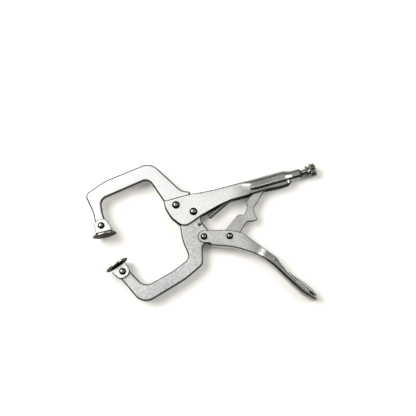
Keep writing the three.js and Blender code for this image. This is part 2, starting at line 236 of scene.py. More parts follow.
class Mesh:
    """Collects points, in millimetres, and faces."""

    def __init__(self):
        self.points = []
        self.faces = []
        self.finish = {}

    def add(self, points):
        first = len(self.points)
        self.points += [tuple(p) for p in points]
        return list(range(first, len(self.points)))

    def bridge(self, a, b, closed=True):
        """Four-sided faces between two rows of point numbers."""
        count = len(a) if closed else len(a) - 1
        for i in range(count):
            j = (i + 1) % len(a)
            self.faces.append((a[i], a[j], b[j], b[i]))

    def cut(self, *face):
        """A face of the sheet's cut edge."""
        self.finish[len(self.faces)] = CUT
        self.faces.append(face)

    def hide(self, first):
        """The faces from a number on are the inside of the sheet."""
        for i in range(first, len(self.faces)):
            self.finish[i] = INSIDE

    def join(self, other):
        first = len(self.points)
        self.points += other.points
        self.faces += [tuple(first + i for i in face) for face in other.faces]

    def move(self, change):
        self.points = [tuple(change(Vector(p))) for p in self.points]
        return self


def plate(outline, thickness, edge, holes=(), z=0.0):
    """A flat plate with rounded edges; holes are (centre, radius)."""
    if area(outline) < 0:
        outline = outline[::-1]
    loops = [(outline, edge)]
    loops += [(circle(centre, radius)[::-1], min(edge, HOLE_EDGE)) for centre, radius in holes]
    made, low_caps, high_caps = Mesh(), [], []
    half = thickness / 2
    for loop, radius in loops:
        rings = []
        for k in range(EDGE_STEPS + 1):
            a = math.pi / 2 * k / EDGE_STEPS
            ring = moved_in(loop, radius * (1 - math.sin(a)))
            rings.append((ring, -half + radius * (1 - math.cos(a))))
        rings += [(ring, -height) for ring, height in reversed(rings)]
        ids = [made.add((p.x, p.y, z + height) for p in ring) for ring, height in rings]
        for a, b in zip(ids, ids[1:]):
            made.bridge(a, b)
        low_caps.append((rings[0][0], ids[0]))
        high_caps.append((rings[-1][0], ids[-1]))
    for caps in (low_caps, high_caps):
        flat = [i for cap in caps for i in cap[1]]
        if len(caps) == 1:
            made.faces.append(tuple(flat if caps is high_caps else flat[::-1]))
            continue
        polygons = [[Vector((p.x, p.y, 0)) for p in cap[0]] for cap in caps]
        for triangle in geometry.tessellate_polygon(polygons):
            made.faces.append(tuple(flat[i] for i in triangle))
    return made


def lathe(profile, origin, axis, sides, shape=None):
    """Turns (radius, height) points about an axis; shape(angle, height, radius) may change it."""
    axis = Vector(axis).normalized()
    side = axis.orthogonal().normalized()
    if abs(axis.z) < 0.5:
        side = Vector((0, 0, 1))
    other = axis.cross(side)
    made, rings = Mesh(), []
    for radius, height in profile:
        centre = Vector(origin) + axis * height
        if radius == 0:
            rings.append(made.add([centre]) * sides)
            continue
        ring = []
        for k in range(sides):
            angle = 2 * math.pi * k / sides
            r = shape(angle, height, radius) if shape else radius
            ring.append(centre + (side * math.cos(angle) + other * math.sin(angle)) * r)
        rings.append(made.add(ring))
    for a, b in zip(rings, rings[1:]):
        for i in range(sides):
            j = (i + 1) % sides
            corners = []
            for v in (a[i], a[j], b[j], b[i]):
                if v not in corners:
                    corners.append(v)
            if len(corners) > 2:
                made.faces.append(tuple(corners))
    return made


def sweep(path, radius):
    """A round wire along a path."""
    made, rings = Mesh(), []
    up = Vector((0, 0, 1))
    for i, p in enumerate(path):
        ahead = (path[min(i + 1, len(path) - 1)] - path[max(i - 1, 0)]).normalized()
        up = (up - ahead * up.dot(ahead)).normalized()
        other = ahead.cross(up)
        ring = []
        for k in range(WIRE_SIDES):
            a = 2 * math.pi * k / WIRE_SIDES
            ring.append(p + (up * math.cos(a) + other * math.sin(a)) * radius)
        rings.append(made.add(ring))
    for a, b in zip(rings, rings[1:]):
        made.bridge(a, b)
    made.faces.append(tuple(rings[0][::-1]))
    made.faces.append(tuple(rings[-1]))
    return made


def shell(outer, inner, joined=0):
    """A bent sheet from two grids of points. The first row's outermost columns, as many as joined,
    stay open, for a flat cheek that goes on from there."""
    made = Mesh()
    out = [made.add(row) for row in outer]
    ins = [made.add(row) for row in inner]
    width = len(outer[0])
    for a, b in zip(out, out[1:]):
        made.bridge(a, b, closed=False)
    first = len(made.faces)
    for a, b in zip(ins, ins[1:]):
        made.bridge(b, a, closed=False)
    made.hide(first)
    for column in (0, width - 1):
        for i in range(len(out) - 1):
            made.cut(out[i][column], out[i + 1][column], ins[i + 1][column], ins[i][column])
    for i in range(width - 1):
        made.cut(out[-1][i], out[-1][i + 1], ins[-1][i + 1], ins[-1][i])
        if joined <= i < width - 1 - joined:
            made.cut(out[0][i], out[0][i + 1], ins[0][i + 1], ins[0][i])
    return made


def seam_points(row, joined):
    """The (x, y) points at which a shell's first row goes on as cheeks."""
    return [(x, y) for x, y, z in row[:joined + 1]][::-1]


def add_cheeks(made, seam, free):
    """Adds both flat cheeks: seam are the points they share with a shell, and free the rest of
    their outline."""
    outline = vectors(seam) + vectors(free)
    for sign in (-1, 1):
        a = made.add((p.x, p.y, sign * CHEEK_OUT) for p in outline)
        b = made.add((p.x, p.y, sign * CHEEK_IN) for p in outline)
        made.faces.append(tuple(a))
        made.faces.append(tuple(b[::-1]))
        made.hide(len(made.faces) - 1)
        for i in range(len(seam) - 1, len(outline)):
            j = (i + 1) % len(outline)
            made.cut(a[i], a[j], b[j], b[i])


def both_sides(half):
    """A whole row of a shell, from (x, y, z) points that end on the middle plane."""
    return [(x, y, -z) for x, y, z in half] + [(x, y, z) for x, y, z in half[-2::-1]]


# points closer than this are one, in metres
MERGE = 2e-7
BEVEL_ANGLE = math.radians(55)


def piece(name, made, material, body, slot, *nodes, bevel=0.0, plain=None, sharp=38):
    """Makes the object. Its corners get a bevel, apart from points where plain(point) is true."""
    mesh = bpy.data.meshes.new(name)
    mesh.from_pydata([place(p) for p in made.points], [], made.faces)
    mesh.materials.append(material)
    # the cut edges and the inside get the dark painted-shade materials
    if made.finish:
        mesh.materials.append(SHADE_DARK)
        mesh.materials.append(INSIDE_SHADE)
        for i, finish in made.finish.items():
            mesh.polygons[i].material_index = finish
    work = bmesh.new()
    work.from_mesh(mesh)
    bmesh.ops.remove_doubles(work, verts=work.verts, dist=MERGE)
    bmesh.ops.recalc_face_normals(work, faces=work.faces)
    if bevel:
        weight = work.edges.layers.float.new("bevel_weight_edge")
        for edge in work.edges:
            if edge.calc_face_angle(0) < BEVEL_ANGLE:
                continue
            if plain is None or not any(plain(drawn(v.co)) for v in edge.verts):
                edge[weight] = 1.0
    work.to_mesh(mesh)
    work.free()
    mesh.shade_smooth()
    mesh.set_sharp_from_angle(angle=math.radians(sharp))
    obj = bpy.data.objects.new(name, mesh)
    bpy.context.scene.collection.objects.link(obj)
    if bevel:
        rounding = obj.modifiers.new("edges", "BEVEL")
        rounding.width = bevel * MM
        rounding.segments = 2
        rounding.limit_method = "WEIGHT"
        # the bevel's faces take the cut edge's dark painted-shade material
        rounding.material = CUT
        rounding.use_clamp_overlap = False
    normals = obj.modifiers.new("normals", "WEIGHTED_NORMAL")
    normals.keep_sharp = True
    if body:
        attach(obj, body)
    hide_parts(*nodes)
    return obj


# ---------------------------------------------------------------- materials

# the part of a noise's range that most of it lies in
NOISE_LOW, NOISE_HIGH = 0.3, 0.7
BLOTCHES = 38
RELIEF = 0.0002


class Graph:
    """The nodes of a material or of the world."""

    def __init__(self, owner):
        owner.use_nodes = True
        self.nodes = owner.node_tree.nodes
        self.links = owner.node_tree.links

    def fill(self, socket, value):
        """Sets an input to a value, or links it to another node's output."""
        if isinstance(value, bpy.types.NodeSocket):
            self.links.new(value, socket)
        else:
            socket.default_value = value

    def add(self, kind, inputs, output=0, **settings):
        """Makes a node and returns one of its outputs."""
        node = self.nodes.new(kind)
        for name, value in settings.items():
            setattr(node, name, value)
        for name, value in inputs.items():
            self.fill(node.inputs[name], value)
        return node.outputs[output]

    def where(self, output):
        return self.nodes.new("ShaderNodeTexCoord").outputs[output]

    def ramp(self, source, low, high, start, end):
        return self.add("ShaderNodeMapRange", {
            "Value": source, "From Min": low, "From Max": high, "To Min": start, "To Max": end,
        })

    def around(self, noise, middle, spread):
        """The noise as values that lie round a middle."""
        return self.ramp(noise, NOISE_LOW, NOISE_HIGH, middle - spread, middle + spread)

    def combined(self, operation, values):
        total = values[0]
        for value in values[1:]:
            total = self.add("ShaderNodeMath", {0: total, 1: value}, operation=operation)
        return total

    def noise(self, scale, detail, stretch=1.0, turn=0.0):
        at = self.add("ShaderNodeMapping", {
            "Vector": self.where("Object"), "Scale": (stretch, 1, 1), "Rotation": (0, 0, turn),
        }, vector_type="TEXTURE")
        return self.add("ShaderNodeTexNoise", {
            "Vector": at, "Scale": scale, "Detail": detail,
        }, "Fac")

    def along(self, start, end, low, high):
        """A value that changes between two places along the tool."""
        x = self.add("ShaderNodeSeparateXYZ", {"Vector": self.where("Object")}, "X")
        return self.ramp(x, MAIN.x + start * MM, MAIN.x + end * MM, low, high)

    def painted_light_by_lean(self, stops):
        """A factor for how far the surface leans from level, which paints shade on rounded edges
        and steep sides and, where it is over 1, paints highlight: the stops are (size of the
        normal's z, factor)."""
        z = self.add("ShaderNodeSeparateXYZ", {"Vector": self.where("Normal")}, "Z")
        level = self.add("ShaderNodeMath", {0: z}, operation="ABSOLUTE")
        curve = self.nodes.new("ShaderNodeValToRGB")
        points = curve.color_ramp.elements
        while len(points) < len(stops):
            points.new(1.0)
        for point, (position, factor) in zip(points, stops):
            point.position = position
            point.color = (factor, factor, factor, 1)
        self.links.new(level, curve.inputs["Fac"])
        return curve.outputs["Color"]


def metal(name, color, roughness, spread, tone, speckle, bump, grain=None, lean=None, ease=None,
          shine=None, fade=None, graze=(1, 1, 1)):
    """Plated steel.

    spread, tone: how far the roughness and the brightness vary
    speckle: the scale of the fine noise
    bump: the strength of the relief
    grain: (scale, stretch) or (scale, stretch, turn) of streaks
    lean: the stops of painted_light_by_lean(): painted shade that darkens rounded edges and steep
    sides, and painted highlight where a stop's factor is over 1
    ease: (x, x) between which the lean's factor gives way to 1
    shine, fade: (x, x, value): along the tool, the roughness changes by this, and the brightness
    becomes this much of itself, a painted shade towards the handles' ends
    graze: the tint at grazing angles
    """
    material = bpy.data.materials.new(name)
    graph = Graph(material)
    slow = graph.noise(BLOTCHES, 3)
    fine = graph.noise(speckle, 2)
    relief = fine
    tones = [graph.around(slow, 1, tone * 0.4), graph.around(fine, 1, tone)]
    roughnesses = [graph.around(slow, roughness, spread)]
    if grain:
        streaks = graph.noise(grain[0], 4, *grain[1:])
        relief = streaks
        tones.append(graph.around(streaks, 1, tone * 0.5))
        roughnesses.append(graph.ramp(streaks, 0.35, 0.65, -spread * 0.6, spread * 0.6))
    if shine:
        start, end, change = shine
        roughnesses.append(graph.along(start, end, 0.0, change))
    # painted shade: darker along the tool towards the handles' ends
    if fade:
        start, end, factor = fade
        tones.append(graph.along(start, end, 1.0, factor))
    # painted light: darker, and in places lighter, by how far the surface leans from level
    if lean:
        factor = graph.painted_light_by_lean(lean)
        if ease:
            share = graph.along(*ease, 0.0, 1.0)
            factor = graph.add("ShaderNodeMix", {"Factor": share, "A": factor, "B": 1.0})
        tones.append(factor)
    tint = graph.add("ShaderNodeVectorMath", {
        0: color, "Scale": graph.combined("MULTIPLY", tones),
    }, operation="SCALE")
    normal = graph.add("ShaderNodeBump", {"Strength": bump, "Distance": RELIEF, "Height": relief})
    shader = graph.nodes["Principled BSDF"].inputs
    shader["Metallic"].default_value = 1.0
    shader["Specular Tint"].default_value = (*graze, 1)
    graph.fill(shader["Base Color"], tint)
    graph.fill(shader["Roughness"], graph.combined("ADD", roughnesses))
    graph.fill(shader["Normal"], normal)
    return material


# painted shade: lean stops that darken rounded edges and steep sides; the lean stops in the
# materials below do the same, and where a factor is over 1 they paint lighter bands as painted
# highlight
EDGE_SHADE = [(0.0, 0.5), (0.25, 0.4), (0.5, 0.04), (0.9, 0.04), (0.99, 1.0)]
ALONG_GRIP = math.radians(-50)

FORGED = metal(
    "forged_plate", (0.55, 0.55, 0.545), 0.58, spread=0.05, tone=0.09, speckle=700, bump=0.25,
    lean=EDGE_SHADE)
# a darker copy of the forged plate: painted shade; its coarser speckle and relief are its own, and
# its lean stops paint shade on edges
FORGED_DULL_SHADE = metal(
    "forged_plate_dull_painted_shade", (0.415, 0.42, 0.415), 0.58, spread=0.06, tone=0.22, speckle=560,
    bump=0.4, lean=[(0.0, 0.6), (0.25, 0.5), (0.5, 0.07), (0.88, 0.07), (0.99, 1.0)])
# its lean stops paint the tube's flanks and the edges darker: painted shade; its fade paints shade
# along the tube
PRESSED = metal(
    "pressed_plate", (0.56, 0.56, 0.55), 0.54, spread=0.06, tone=0.11, speckle=600, bump=0.12,
    grain=(900, 25), lean=[(0.0, 0.8), (0.3, 0.6), (0.85, 0.6), (0.985, 1.0)],
    shine=(50, 75, -0.32), fade=(70, 103, 0.93), graze=(0.8, 0.79, 0.72))
# a darker copy of the pressed plate: painted shade; its lean stops paint the walls lighter as
# painted reflection and the bends dark as painted shade, and its fade paints shade along the grip;
# its speckle and grain are its own
PRESSED_DULL_SHADE = metal(
    "pressed_plate_dull_painted_shade", (0.42, 0.422, 0.412), 0.5, spread=0.03, tone=0.22, speckle=560,
    bump=0.05, grain=(700, 16, ALONG_GRIP),
    lean=[(0.0, 1.3), (0.42, 1.2), (0.58, 0.25), (0.85, 0.25), (0.985, 1.0)], ease=(84, 100),
    shine=(46, 64, -0.2), fade=(66, 92, 0.62), graze=(0.75, 0.74, 0.66))
# darker than the jaws: painted shade; its lean stops paint shade on edges
LINK = metal(
    "link_plate", (0.35, 0.35, 0.345), 0.56, spread=0.07, tone=0.22, speckle=560, bump=0.4,
    lean=EDGE_SHADE)
# its lean stops paint its edges dark: painted shade
YOKE = metal(
    "yoke_plate", (0.56, 0.555, 0.54), 0.5, spread=0.06, tone=0.05, speckle=700, bump=0.2,
    lean=[(0.0, 0.4), (0.25, 0.3), (0.5, 0.04), (0.97, 0.04), (0.995, 1.0)])
# painted shade: near-black for the sheets' cut edges and bevels, the lever's body and the plug in
# the spring's hole, for the dark lines and gaps where shade falls
SHADE_DARK = metal(
    "painted_shade_dark", (0.045, 0.043, 0.037), 0.6, spread=0.06, tone=0.1, speckle=900, bump=0.3,
    graze=(0.25, 0.24, 0.22))
# painted shade: the inside of the sheets, dark for the shade within the channels
INSIDE_SHADE = metal(
    "sheet_inside_painted_shade", (0.18, 0.175, 0.15), 0.6, spread=0.06, tone=0.1, speckle=600, bump=0.3)
POLISHED = metal(
    "polished_rivet", (0.35, 0.34, 0.32), 0.12, spread=0.03, tone=0.03, speckle=900, bump=0.05,
    lean=EDGE_SHADE)
# painted highlight: a bright metal for the grip's lips, standing in for the highlight on their
# edges
RIM_HIGHLIGHT = metal(
    "painted_highlight_rim", (0.78, 0.78, 0.77), 0.35, spread=0.06, tone=0.05, speckle=900, bump=0.1)
# painted shade: the pin's end dark for the shade in its dimple
PIN = metal(
    "pin_end", (0.16, 0.158, 0.15), 0.5, spread=0.06, tone=0.08, speckle=900, bump=0.2)
SCREW = metal(
    "screw_steel", (0.22, 0.218, 0.2), 0.26, spread=0.05, tone=0.08, speckle=900, bump=0.2)
# its lean stops paint the rims lighter, a painted highlight, and the leaning faces darker, painted
# shade
PAD = metal(
    "pad_steel", (0.36, 0.35, 0.31), 0.28, spread=0.06, tone=0.1, speckle=700, bump=0.2,
    lean=[(0.0, 0.4), (0.6, 0.4), (0.93, 1.2)], graze=(0.3, 0.29, 0.24))
WIRE = metal(
    "spring_wire", (0.24, 0.235, 0.21), 0.3, spread=0.06, tone=0.08, speckle=900, bump=0.1)


# ---------------------------------------------------------------- jaws

TIP_HALF = 6.6
TIP_FILLET = TIP_HALF - 0.5
HEAD_HALF, HEAD_FILLET = 11.4, 10.9
EYE_R = 1.9
# how far the fixed jaw's outline is moved in, to stay inside the CAD model's box
FIXED_JAW_INSET = 0.16


def fixed_jaw():
    x, y = FIXED_PAD
    left, right, end = x - TIP_HALF, x + TIP_HALF, y - TIP_HALF
    outline = filleted([
        (2.7, 25.9, 2), (-7, 29.8, 14), (-34, 74.7, 18), (-95, 66.8, 50), (-122.4, 56.6, 7.5),
        (-118.1, 33, 40), (left, y + 4, 30), (left, end, TIP_FILLET), (right, end, TIP_FILLET),
        (right, y + 4, 20), (-106.4, 30, 30), (-104.4, 45.3, 9), (-42.2, 54.4, 9),
        (-31.6, 22.6, 8), (-27.5, 4.6, 5), (-14.2, 4.6, 2), (-13.6, 12.6, 3), (-4, 16.2, 3),
        (15, 13.2, 2), (14.4, 19.2, 2), (2.7, 19.5),
    ])
    holes = [(JAW_FIXING, JAW_HOLE), (FIXED_PAD, PAD_HOLE)]
    made = plate(moved_in(outline, FIXED_JAW_INSET), 2 * JAW_HALF, 2.5, holes)
    piece("fixed_jaw_forging", made, FORGED, "frame", "jaw", "fixed_jaw")


def moving_jaw():
    along = Vector((-0.5, 0.866)) * TIP_HALF
    across = Vector((along.y, -along.x))
    left = Vector(MOVING_PAD) + along + across
    right = Vector(MOVING_PAD) + along - across
    head = HEAD_HALF
    outline = filleted([
        (head, head, HEAD_FILLET), (-head, head, HEAD_FILLET), (-head, -1.5, 5),
        (-20.2, -11.5, 6), (-22.8, -29, 60), (-19.4, -53.2, 9), (-44, -63, 60), (-80.4, -72.1, 12),
        (*left, TIP_FILLET), (*right, TIP_FILLET), (-88.3, -92.9, 17), (-30, -76.4, 80),
        (-5.9, -64.8, 10), (-0.9, -43.6, 8), (4.2, -41, 4), (11.9, -40.6, 7), (11.9, -27, 5),
        (6.6, -15, 12), (6.6, -9.6, 3), (head, -4, 6),
    ])
    holes = [((0, 0), JAW_HOLE), (HANDLE_PIVOT, LINK_HOLE), (MOVING_PAD, PAD_HOLE),
             (SPRING_HOLE, EYE_R)]
    made = plate(outline, 2 * JAW_HALF, 2.3, holes)
    piece("moving_jaw_forging", made, FORGED_DULL_SHADE, "moving_jaw", "jaw", "moving_jaw")
    # a dark plug, a little under both faces, for the shadow inside the spring's hole
    plug_r, plug_half = EYE_R + 0.05, JAW_HALF - 0.8
    profile = [(0, -plug_half), (plug_r, -plug_half), (plug_r, plug_half), (0, plug_half)]
    made = lathe(profile, (*SPRING_HOLE, 0), (0, 0, 1), 32)
    piece("moving_jaw_eye", made, SHADE_DARK, "moving_jaw", "jaw", "moving_jaw")


# ---------------------------------------------------------------- upper handle

WEB_START = 3.0
WEB_TOP = [(3, 22.3), (14, 21.4), (33, 20.2), (52, 20.0), (73, 20.3), (81, 20.5)]
CHEEK_FRONT = [(-31.8, 22.3, 1.7), (-32.2, 14, 20), (-28.6, 0.8, 25), (-16.6, -16.4, 12)]
CHEEK_LOWER = [(6, -8.1, 20), (32, -1.2, 60), (48, 1.3, 30), (69.5, 1.0, 1), (72.5, 2.0, 1),
               (97, 1.8, 60), (112, 0.7, 40), (121.5, 1.4, 4), (128, 6, 1)]
# y of the line along the cheek where the tube begins
CREASE = 5.4
# where the tube's open side closes, and how far round it does
SEAM_START, SEAM_END = 121, 128
SEAM_ANGLE = math.radians(89.4)
# the sheet is drawn thinner at the socket
SOCKET_SHEET = 0.8
# the number of points in each part of a sheet's cross-section
LIP_STEPS, SIDE_STEPS, CORNER_STEPS, TOP_STEPS = 2, 12, 8, 4


def handle_section(x, bottom, shrink):
    """Half of the upper handle's cross-section, from the lip up to the top, as (y, z). It goes over
    from a channel to a tube, and does so earlier at the top than at the lip."""
    half = CHEEK_OUT - shrink
    top = height_at(vectors(WEB_TOP), x) - shrink
    corner = max(LEAST_CORNER, mix(0.8, 3.5, smooth(WEB_START, 14, x)) - shrink)
    neck = smooth(TUBE_END, NECK_END, x)
    radius = mix(TUBE_R, SOCKET_R, neck) - shrink * mix(1, SOCKET_SHEET, neck)
    opening = math.acos(min(1.0, half / radius)) if radius > half else 0.0
    low = -mix(opening, SEAM_ANGLE, smooth(SEAM_START, SEAM_END, x))
    arc_end = SCREW_Y + radius * math.sin(low)
    bottom = min(bottom, arc_end - 0.04)
    channel, tube = [], []
    for k in range(LIP_STEPS):
        t = k / LIP_STEPS
        channel.append((mix(bottom, CREASE, t), half))
        tube.append((mix(bottom, arc_end, t), radius * math.cos(low)))
    for k in range(SIDE_STEPS):
        channel.append((mix(CREASE, top - corner, k / SIDE_STEPS), half))
    for k in range(CORNER_STEPS):
        across, up = turned(math.pi / 2 * k / CORNER_STEPS, corner)
        channel.append((top - corner + up, half - corner + across))
    for k in range(TOP_STEPS + 1):
        channel.append((top, mix(half - corner, 0, k / TOP_STEPS)))
    arc_count = SIDE_STEPS + CORNER_STEPS + TOP_STEPS
    for k in range(arc_count + 1):
        across, up = turned(mix(low, math.pi / 2, k / arc_count), radius)
        tube.append((SCREW_Y + up, across))
    points = []
    for k, (c, t) in enumerate(zip(channel, tube)):
        # the top rolls into the tube over 30 from x = 50 on, and the lip over 9 from x = 71 on
        share = k / (len(channel) - 1)
        start = mix(71, 50, share)
        rolled = smooth(start, start + mix(9, 30, share), x)
        points.append((mix(c[0], t[0], rolled), mix(c[1], t[1], rolled)))
    return points


def upper_handle():
    lower = filleted([(-16.6, -16.4), *CHEEK_LOWER, (128, 16)])[:-1]
    # closer together where the section changes
    stations = [WEB_START, 5, 8, 11, 14, 18, 23, 28, 33, 38, 43, 48]
    stations += [50 + 1.5 * k for k in range(24)]
    stations += [86 + 4 * k for k in range(8)] + [115, 117]
    stations += [TUBE_END + 0.75 * k for k in range(16)] + [131, 135, SOCKET_END]
    grids = []
    for shrink in (0.0, SHEET):
        rows = []
        for x in stations:
            section = handle_section(x, height_at(lower, x), shrink)
            rows.append(both_sides([(x, y, z) for y, z in section]))
        grids.append(rows)
    seam_count = LIP_STEPS + SIDE_STEPS
    made = shell(*grids, joined=seam_count)
    foot = (WEB_START, height_at(lower, WEB_START))
    free = filleted([foot, *CHEEK_FRONT[::-1], (WEB_START, 22.3)])[1:]
    add_cheeks(made, seam_points(grids[0][0], seam_count), free)

    def under_neck(p):
        """Where the tube's two lips meet, and a bevel would make spikes."""
        return p.x > SEAM_START and p.y < 8.5 and abs(p.z) < 2

    piece("upper_handle_sheet", made, PRESSED, "frame", "handle", "upper_handle", bevel=1.3,
          plain=under_neck)


# ---------------------------------------------------------------- lower handle

BACK = [(-10, -37.6), (14, -47.4), (36.4, -56.5), (57.5, -70.4), (71.7, -86.4), (84.3, -107.6),
        (96.8, -128.6), (106.3, -138.7), (114, -143.6)]
TOP_LINE = [(116, -146), (91.4, -107.2, 60), (83.8, -90.6, 25), (81.6, -81.8, 8),
            (50, -40.8, 20), (35.5, -33.4, 40), (-0.96, -24.0)]
HANDLE_NOSE = [(-0.96, -24.0, 7.2), (-4.9, -38.1, 7.2), (6.9, -41.5, 0.5)]
# x of the trough's ends; the cheeks go on from the first one
HANDLE_START, HANDLE_END = 7.2, 113.0
# a wall's height lies between these
WALL_LOW, WALL_HIGH = 0.4, 60.0
# shares of the back's length over which the cheeks flare out to the grip and the corners round
FLARE = (0.447, 0.517)
ROUNDING, END_ROUNDING = (0.42, 0.66), (0.72, 0.95)
# the bright rims, a painted highlight: x of their ends, their radius, and their depth inside the
# grip's sides
RIM_START, RIM_END, RIM_R, RIM_IN = 87, 107, 0.55, 0.45


def wall_height(at, up, line):
    """How far it is from a point on the back, along up, to the handle's top line."""
    best = WALL_HIGH
    for a, b in zip(line, line[1:]):
        d = b - a
        below = cross(up, d)
        if abs(below) < 1e-9:
            continue
        reach = cross(a - at, d) / below
        share = cross(a - at, up) / below
        if -1e-6 <= share <= 1 + 1e-6 and WALL_LOW < reach < best:
            best = reach
    return best


def trough(half, height, corner, floor):
    """Half of a trough's cross-section, from the lip down to the middle, as (height, z)."""
    corner = max(LEAST_CORNER, min(corner, height - floor - LEAST_CORNER))
    points = [(mix(height, floor + corner, k / SIDE_STEPS), half) for k in range(SIDE_STEPS)]
    for k in range(CORNER_STEPS):
        across, down = turned(math.pi / 2 * k / CORNER_STEPS, corner)
        points.append((floor + corner - down, half - corner + across))
    points += [(floor, mix(half - corner, 0, k / TOP_STEPS)) for k in range(TOP_STEPS + 1)]
    return points


def trough_rows(frames, sizes, sheet):
    """Outer and inner grids of a trough along frames of (point, up), with sizes of (half width,
    height, corner radius)."""
    grids = []
    for shrink in (0.0, sheet):
        rows = []
        for (at, up), (half, height, corner) in zip(frames, sizes):
            section = trough(half - shrink, height, corner - shrink, shrink)
            rows.append(both_sides([(*(at + up * h), z) for h, z in section]))
        grids.append(rows)
    return grids


def lower_handle():
    back = evenly(spline(vectors(BACK), 12), 110)
    line = filleted(TOP_LINE)
    line = [Vector(TOP_LINE[0][:2])] + line[1:-1] + [Vector(TOP_LINE[-1][:2])]
    frames, sizes = [], []
    for i, at in enumerate(back):
        if not HANDLE_START <= at.x <= HANDLE_END:
            continue
        ahead = (back[min(i + 1, len(back) - 1)] - back[max(i - 1, 0)]).normalized()
        up = Vector((-ahead.y, ahead.x))
        share = i / (len(back) - 1)
        half = mix(CHEEK_OUT, GRIP_OUT, smooth(*FLARE, share))
        corner = mix(2.5, 5.6, smooth(*ROUNDING, share)) + 2.4 * smooth(*END_ROUNDING, share)
        frames.append((at, up))
        sizes.append((half, wall_height(at, up, line), corner))
    grids = trough_rows(frames, sizes, SHEET)
    made = shell(*grids, joined=SIDE_STEPS)
    seam = seam_points(grids[0][0], SIDE_STEPS)
    add_cheeks(made, seam, filleted([seam[-1], *HANDLE_NOSE, seam[0]])[1:-1])

    def at_end(p):
        """The thin end of the grip, for the same reason."""
        return p.x > 109.5

    piece("lower_handle_sheet", made, PRESSED_DULL_SHADE, "lower_handle", "handle", "lower_handle",
          bevel=0.75, plain=at_end)
    # a bright wire along each of the grip's lips: a painted highlight on their edges
    rim = [p for p in evenly(line, 300) if RIM_START < p.x < RIM_END]
    for side, z in (("front", GRIP_OUT - RIM_IN), ("back", RIM_IN - GRIP_OUT)):
        made = sweep([Vector((p.x, p.y, z)) for p in rim], RIM_R)
        piece("lower_handle_rim_" + side, made, RIM_HIGHLIGHT, "lower_handle", "handle", "lower_handle")


# ---------------------------------------------------------------- link and lever

def toggle_link():
    x, y = 99, SCREW_Y
    rx, ry = LINK_PIVOT
    outline = filleted([
        (rx - 4.4, ry - 9.8, 7.2), (rx - 9.8, ry + 4.3, 7.2), (51.6, -17.5, 5),
        (58.2, -19.9, 2.5), (65.4, -11, 6), (64.9, -5.6, 4), (x - 11, y + 0.8, 8),
        (x + 5, y + 5, 4.6), (x + 5, y - 5, 4.6), (89.5, 1.8, 15), (71.6, -15.4, 5),
        (71.1, -24, 6), (73.2, -29.6, 1.5), (67, -30.4, 3), (59.4, -28.6, 5), (50.4, -37, 5),
    ])
    made = plate(outline, 7, 1.0, [(LINK_PIVOT, LINK_HOLE)])
    piece("toggle_link_bar", made, LINK, "toggle_link", "link", "toggle_link")


def release_lever():
    """A body deep in the lower handle, dark as painted shade, with a wider, bright lip that a
    finger pushes.
    """
    body = filleted([
        (67.2, -66.4, 1.7), (81.4, -82.4, 2.8), (82.8, -90.4, 20), (91.6, -103.6, 30),
        (97.4, -111.4), (102, -118.8), (106.8, -125.8), (111.4, -132.4), (113, -135.8, 0.5),
        (111, -136.8, 0.5), (102.6, -126.4), (93.2, -112), (88.8, -103, 20), (81, -92, 4),
        (75.4, -85.6, 3), (64.4, -69.8, 1.7),
    ])
    made = plate(body, 6.4, 0.9, [(LEVER_PIVOT, LEVER_HOLE)])
    piece("release_lever_body", made, SHADE_DARK, "release_lever", "handle", "release_lever")
    outer = [(91.2, -101.9), (94.2, -106.6), (98.4, -111.6), (102.4, -115.9), (105.8, -119.8),
             (108.9, -124.0), (111.2, -128.3), (113.4, -132.8), (114.8, -136.8)]
    inner = [(113.8, -137.7), (110.6, -132.9), (105.9, -126.4), (101.1, -119.4), (96.6, -112.2),
             (90.4, -102.7)]
    made = plate(spline(vectors(outer), 4) + spline(vectors(inner), 4), 10, 0.4)
    piece("release_lever_lip", made, LINK, "release_lever", "handle", "release_lever")


# ---------------------------------------------------------------- rivets

# a head's clearance from the sheet, the height of its straight rim and the rim's small chamfer
SEAT, RIM, CHAMFER = 0.15, 0.3, 0.15
DOME_STEPS = 14
# a dome's profile falls off with this power of the radius, so its top is flat
DOME_POWER = 3.2


def rivet(name, at, shaft, head, height, reach, body, node, material=POLISHED):
    """A shaft with two domed heads: head is their radius, and reach is how far from the middle
    plane the sheet under them ends."""
    seat = reach + SEAT
    half = []
    for k in range(DOME_STEPS + 1):
        r = head * math.sin(math.pi / 2 * k / DOME_STEPS)
        half.append((r, seat + RIM + (height - RIM) * (1 - (r / head) ** DOME_POWER)))
    half += [(head, seat + CHAMFER), (head - CHAMFER, seat), (shaft, seat)]
    profile = half + [(r, -h) for r, h in reversed(half)]
    made = lathe(profile, (*at, 0), (0, 0, 1), 40)
    piece(name, made, material, body, "rivet", node)


def rivets():
    main = (3.2, 4.75, 3.1, CHEEK_OUT)
    small = (3.0, 4.1, 2.8, CHEEK_OUT)
    pin = (1.5, 2.2, 0.7, GRIP_OUT)
    rivet("jaw_fixing_rivet_head", JAW_FIXING, *main, "frame", "jaw_fixing_rivet")
    rivet("main_pivot_rivet_head", (0, 0), *main, "frame", "main_pivot_rivet")
    rivet("handle_pivot_rivet_head", HANDLE_PIVOT, *small, "moving_jaw", "handle_pivot_rivet")
    rivet("link_pivot_rivet_head", LINK_PIVOT, *small, "lower_handle", "link_pivot_rivet")
    rivet("release_lever_pin_end", LEVER_PIVOT, *pin, "lower_handle", "release_lever_pin", PIN)


# ---------------------------------------------------------------- screw, knob, spring

PITCH = 1.25
THREAD_DEPTH = 0.62
THREAD_START = 122.0
# the knob's blind bore, and the screw's end in it
BORE_R, BORE_DEPTH = 4.3, 4.1
SCREW_END = KNOB_X + 3.8
GROOVES, GROOVE_DEPTH = 12, 0.75


